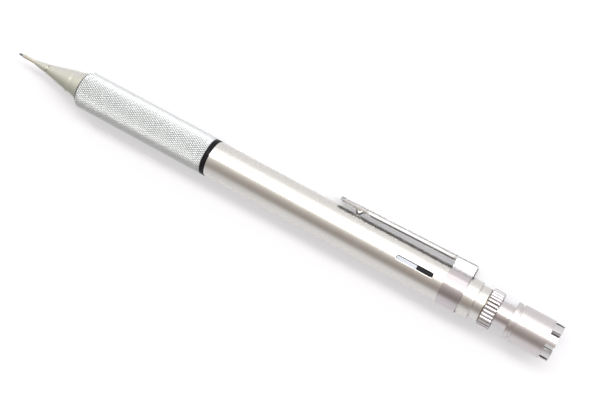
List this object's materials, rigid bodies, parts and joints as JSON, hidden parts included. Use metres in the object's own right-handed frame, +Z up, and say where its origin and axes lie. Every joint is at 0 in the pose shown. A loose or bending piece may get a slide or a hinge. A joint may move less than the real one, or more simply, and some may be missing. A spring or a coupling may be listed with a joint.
{
  "type": "lead holder",
  "caption": "Push-button drafting lead holder with sleeved tip, knurled grip, pocket clip, feed window and fluted regulator dial.",
  "frame": {"origin": "on the holder's axis at the mouth of the lead sleeve", "axes": "+X along the holder from the tip to the cap, +Z up, lying on a table with the clip on the +Y side and its corner touching the table"},
  "size_m": [0.1531, 0.0121, 0.0098],
  "materials": {
    "satin_metal": "satin, fine brushed, warm silver",
    "grip_aluminium": "diamond knurled, bright",
    "black_gloss": "gloss",
    "clip_steel": "polished spring steel",
    "dial_metal": "bright, fluted",
    "crown_metal": "satin",
    "sleeve_steel": "drawn tube",
    "spring_steel": "drawn wire",
    "inner_brass": "turned",
    "inner_aluminium": "drawn tube",
    "white_plastic": "matte",
    "black_plastic": "matte",
    "black_rubber": "matte",
    "white_rubber": "matte, chalky",
    "graphite": "graphite, dull sheen"
  },
  "bodies": {
    "holder": {"guide_sleeve": "sleeve_steel", "front_tip": "satin_metal", "lead_retainer": "black_rubber", "nose_cone": "satin_metal", "grip_liner": "inner_brass", "guide_key": "sleeve_steel", "knurled_grip": "grip_aluminium", "joint_ring": "black_gloss", "barrel": "satin_metal", "pocket_clip": "clip_steel", "rear_collar": "satin_metal", "neck_sleeve": "satin_metal"},
    "dial": {"regulator_dial": "dial_metal", "regulator_screw": "inner_brass", "dial_friction_ring": "black_rubber"},
    "carrier": {"regulator_carrier": "inner_aluminium", "indicator_front": "white_plastic", "indicator_rear": "black_plastic", "clutch_sleeve": "inner_brass", "push_spring": "spring_steel"},
    "plunger": {"chuck": "inner_brass", "chuck_connector": "inner_brass", "lead_tube": "inner_aluminium", "push_rod": "satin_metal"},
    "clutch": {"clutch_ring": "inner_brass", "lead": "graphite"},
    "cap": {"cap_body": "satin_metal", "cap_crown": "crown_metal"},
    "eraser_unit": {"eraser": "white_rubber", "eraser_ferrule": "spring_steel", "cleaning_needle": "spring_steel"}
  },
  "joints": [
    {"name": "dial_turn", "type": "hinge", "parent": "holder", "child": "dial", "pos_m": [0.1354, 0, 0], "axis": [1, 0, 0], "range_deg": [-225, 225]},
    {"name": "carrier_slide", "type": "slide", "parent": "holder", "child": "carrier", "axis": [1, 0, 0], "range_m": [-0.00125, 0.00125]},
    {"name": "push", "type": "slide", "parent": "carrier", "child": "plunger", "axis": [-1, 0, 0], "range_m": [0, 0.002], "stiffness_N_per_m": 500, "springref_m": -0.003, "deforming": ["push_spring"]},
    {"name": "clutch_slide", "type": "slide", "parent": "carrier", "child": "clutch", "axis": [-1, 0, 0], "range_m": [0, 0.0006]},
    {"name": "cap_pull", "type": "slide", "parent": "plunger", "child": "cap", "axis": [1, 0, 0], "range_m": [0, 0.016]},
    {"name": "eraser_pull", "type": "slide", "parent": "plunger", "child": "eraser_unit", "axis": [1, 0, 0], "range_m": [0, 0.008]}
  ],
  "couplings": [
    {"joint": "dial_turn", "follows": "carrier_slide", "rad_per_m": 3141.6},
    {"joint": "clutch_slide", "follows": "push", "ratio": 0.3},
    {"joint": "eraser_pull", "follows": "cap_pull", "ratio": 0.5}
  ]
}
